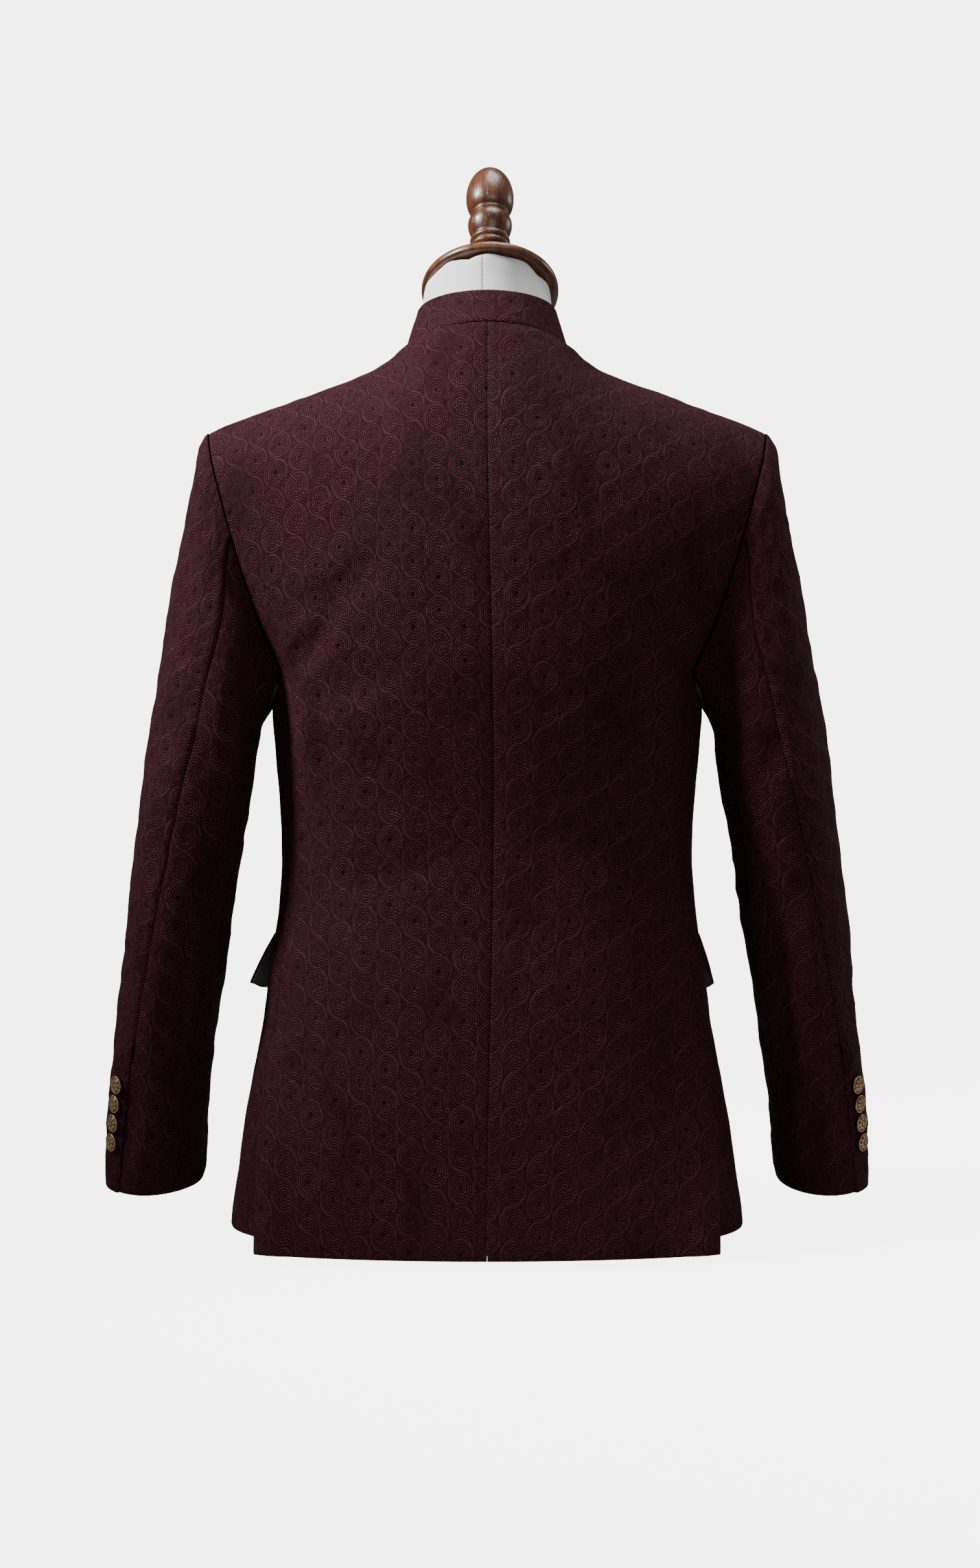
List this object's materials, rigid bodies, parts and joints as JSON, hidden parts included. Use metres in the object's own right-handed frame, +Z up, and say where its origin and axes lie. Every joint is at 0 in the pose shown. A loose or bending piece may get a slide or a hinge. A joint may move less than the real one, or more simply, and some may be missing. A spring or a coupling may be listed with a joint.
{
  "type": "prince coat on a limbless dress form",
  "caption": "Long-sleeved stand-collar prince coat with side vents, hip flaps and metal buttons, worn by a limbless dress form with a turned wooden neck cap.",
  "frame": {"origin": "middle of the dress form's flat base, on the surface that it stands on", "axes": "+Z up; the coat's front faces -Y and its wearer's left is +X"},
  "size_m": [0.6476, 0.2583, 0.9111],
  "materials": {
    "wine_cloth": "matt wine cloth, embroidered all over with tone-on-tone rosettes",
    "form_linen": "plain off-white linen cover",
    "walnut": "turned walnut, satin varnish",
    "antique_gold": "antique gold, worn bright on the raised parts"
  },
  "bodies": {
    "root": {"back_left": "wine_cloth", "front_left": "wine_cloth", "side_left": "wine_cloth", "top_sleeve_left": "wine_cloth", "under_sleeve_left": "wine_cloth", "pocket_flap_left": "wine_cloth", "back_right": "wine_cloth", "front_right": "wine_cloth", "side_right": "wine_cloth", "top_sleeve_right": "wine_cloth", "under_sleeve_right": "wine_cloth", "pocket_flap_right": "wine_cloth", "collar": "wine_cloth", "cuff_button_left_1": "antique_gold", "cuff_button_left_2": "antique_gold", "cuff_button_left_3": "antique_gold", "cuff_button_left_4": "antique_gold", "cuff_button_right_1": "antique_gold", "cuff_button_right_2": "antique_gold", "cuff_button_right_3": "antique_gold", "cuff_button_right_4": "antique_gold", "front_button_1": "antique_gold", "front_button_2": "antique_gold", "front_button_3": "antique_gold", "front_button_4": "antique_gold", "front_button_5": "antique_gold", "front_button_6": "antique_gold", "dress_form": "form_linen", "neck_cap": "walnut", "finial": "walnut"}
  },
  "joints": []
}
